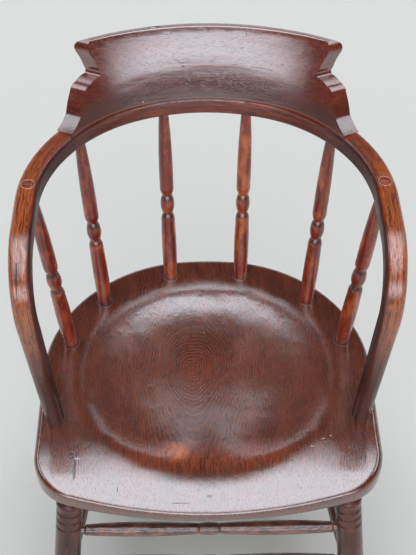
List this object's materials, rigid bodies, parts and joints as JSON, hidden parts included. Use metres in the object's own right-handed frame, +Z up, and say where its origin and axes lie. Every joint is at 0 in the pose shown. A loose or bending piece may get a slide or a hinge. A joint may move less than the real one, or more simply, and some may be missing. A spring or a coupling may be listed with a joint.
{
  "type": "chair",
  "caption": "Wooden captain's chair: saddled plank seat, bent arm bow on turned spindles, scooped crest with shaped ends, splayed turned legs tied by stretchers",
  "frame": {"origin": "on the floor, in the middle of the chair's width and depth", "axes": "+X to the right of someone who faces the chair, +Y to its back, +Z up"},
  "size_m": [0.481, 0.5543, 0.809],
  "materials": {
    "seat_wood": "aged glossy brown varnish over open grain, worn orange on the nose",
    "bow_wood": "aged glossy red-brown varnish, worn orange on top",
    "crest_wood": "aged glossy red-brown varnish with fine cracks",
    "spindle_wood": "aged glossy red-brown varnish, dark in the turned necks",
    "leg_wood": "aged satin red-brown varnish",
    "stretcher_wood": "aged satin red-brown varnish, worn bare on top",
    "wedge_wood": "paler end grain under old varnish",
    "screw_steel": "dull, slightly rusted"
  },
  "bodies": {
    "root": {"seat": "seat_wood", "arm_bow": "bow_wood", "crest": "crest_wood", "spindle_left_inner": "spindle_wood", "spindle_right_inner": "spindle_wood", "spindle_left_middle": "spindle_wood", "spindle_right_middle": "spindle_wood", "spindle_left_outer": "spindle_wood", "spindle_right_outer": "spindle_wood", "leg_front_left": "leg_wood", "leg_front_right": "leg_wood", "leg_rear_left": "leg_wood", "leg_rear_right": "leg_wood", "stretcher_front_upper": "stretcher_wood", "stretcher_front_lower": "stretcher_wood", "stretcher_left_upper": "stretcher_wood", "stretcher_left_lower": "stretcher_wood", "stretcher_right_upper": "stretcher_wood", "stretcher_right_lower": "stretcher_wood", "stretcher_rear": "stretcher_wood", "spindle_wedges": "wedge_wood", "arm_wedges": "wedge_wood", "crest_screws": "screw_steel"}
  },
  "joints": []
}
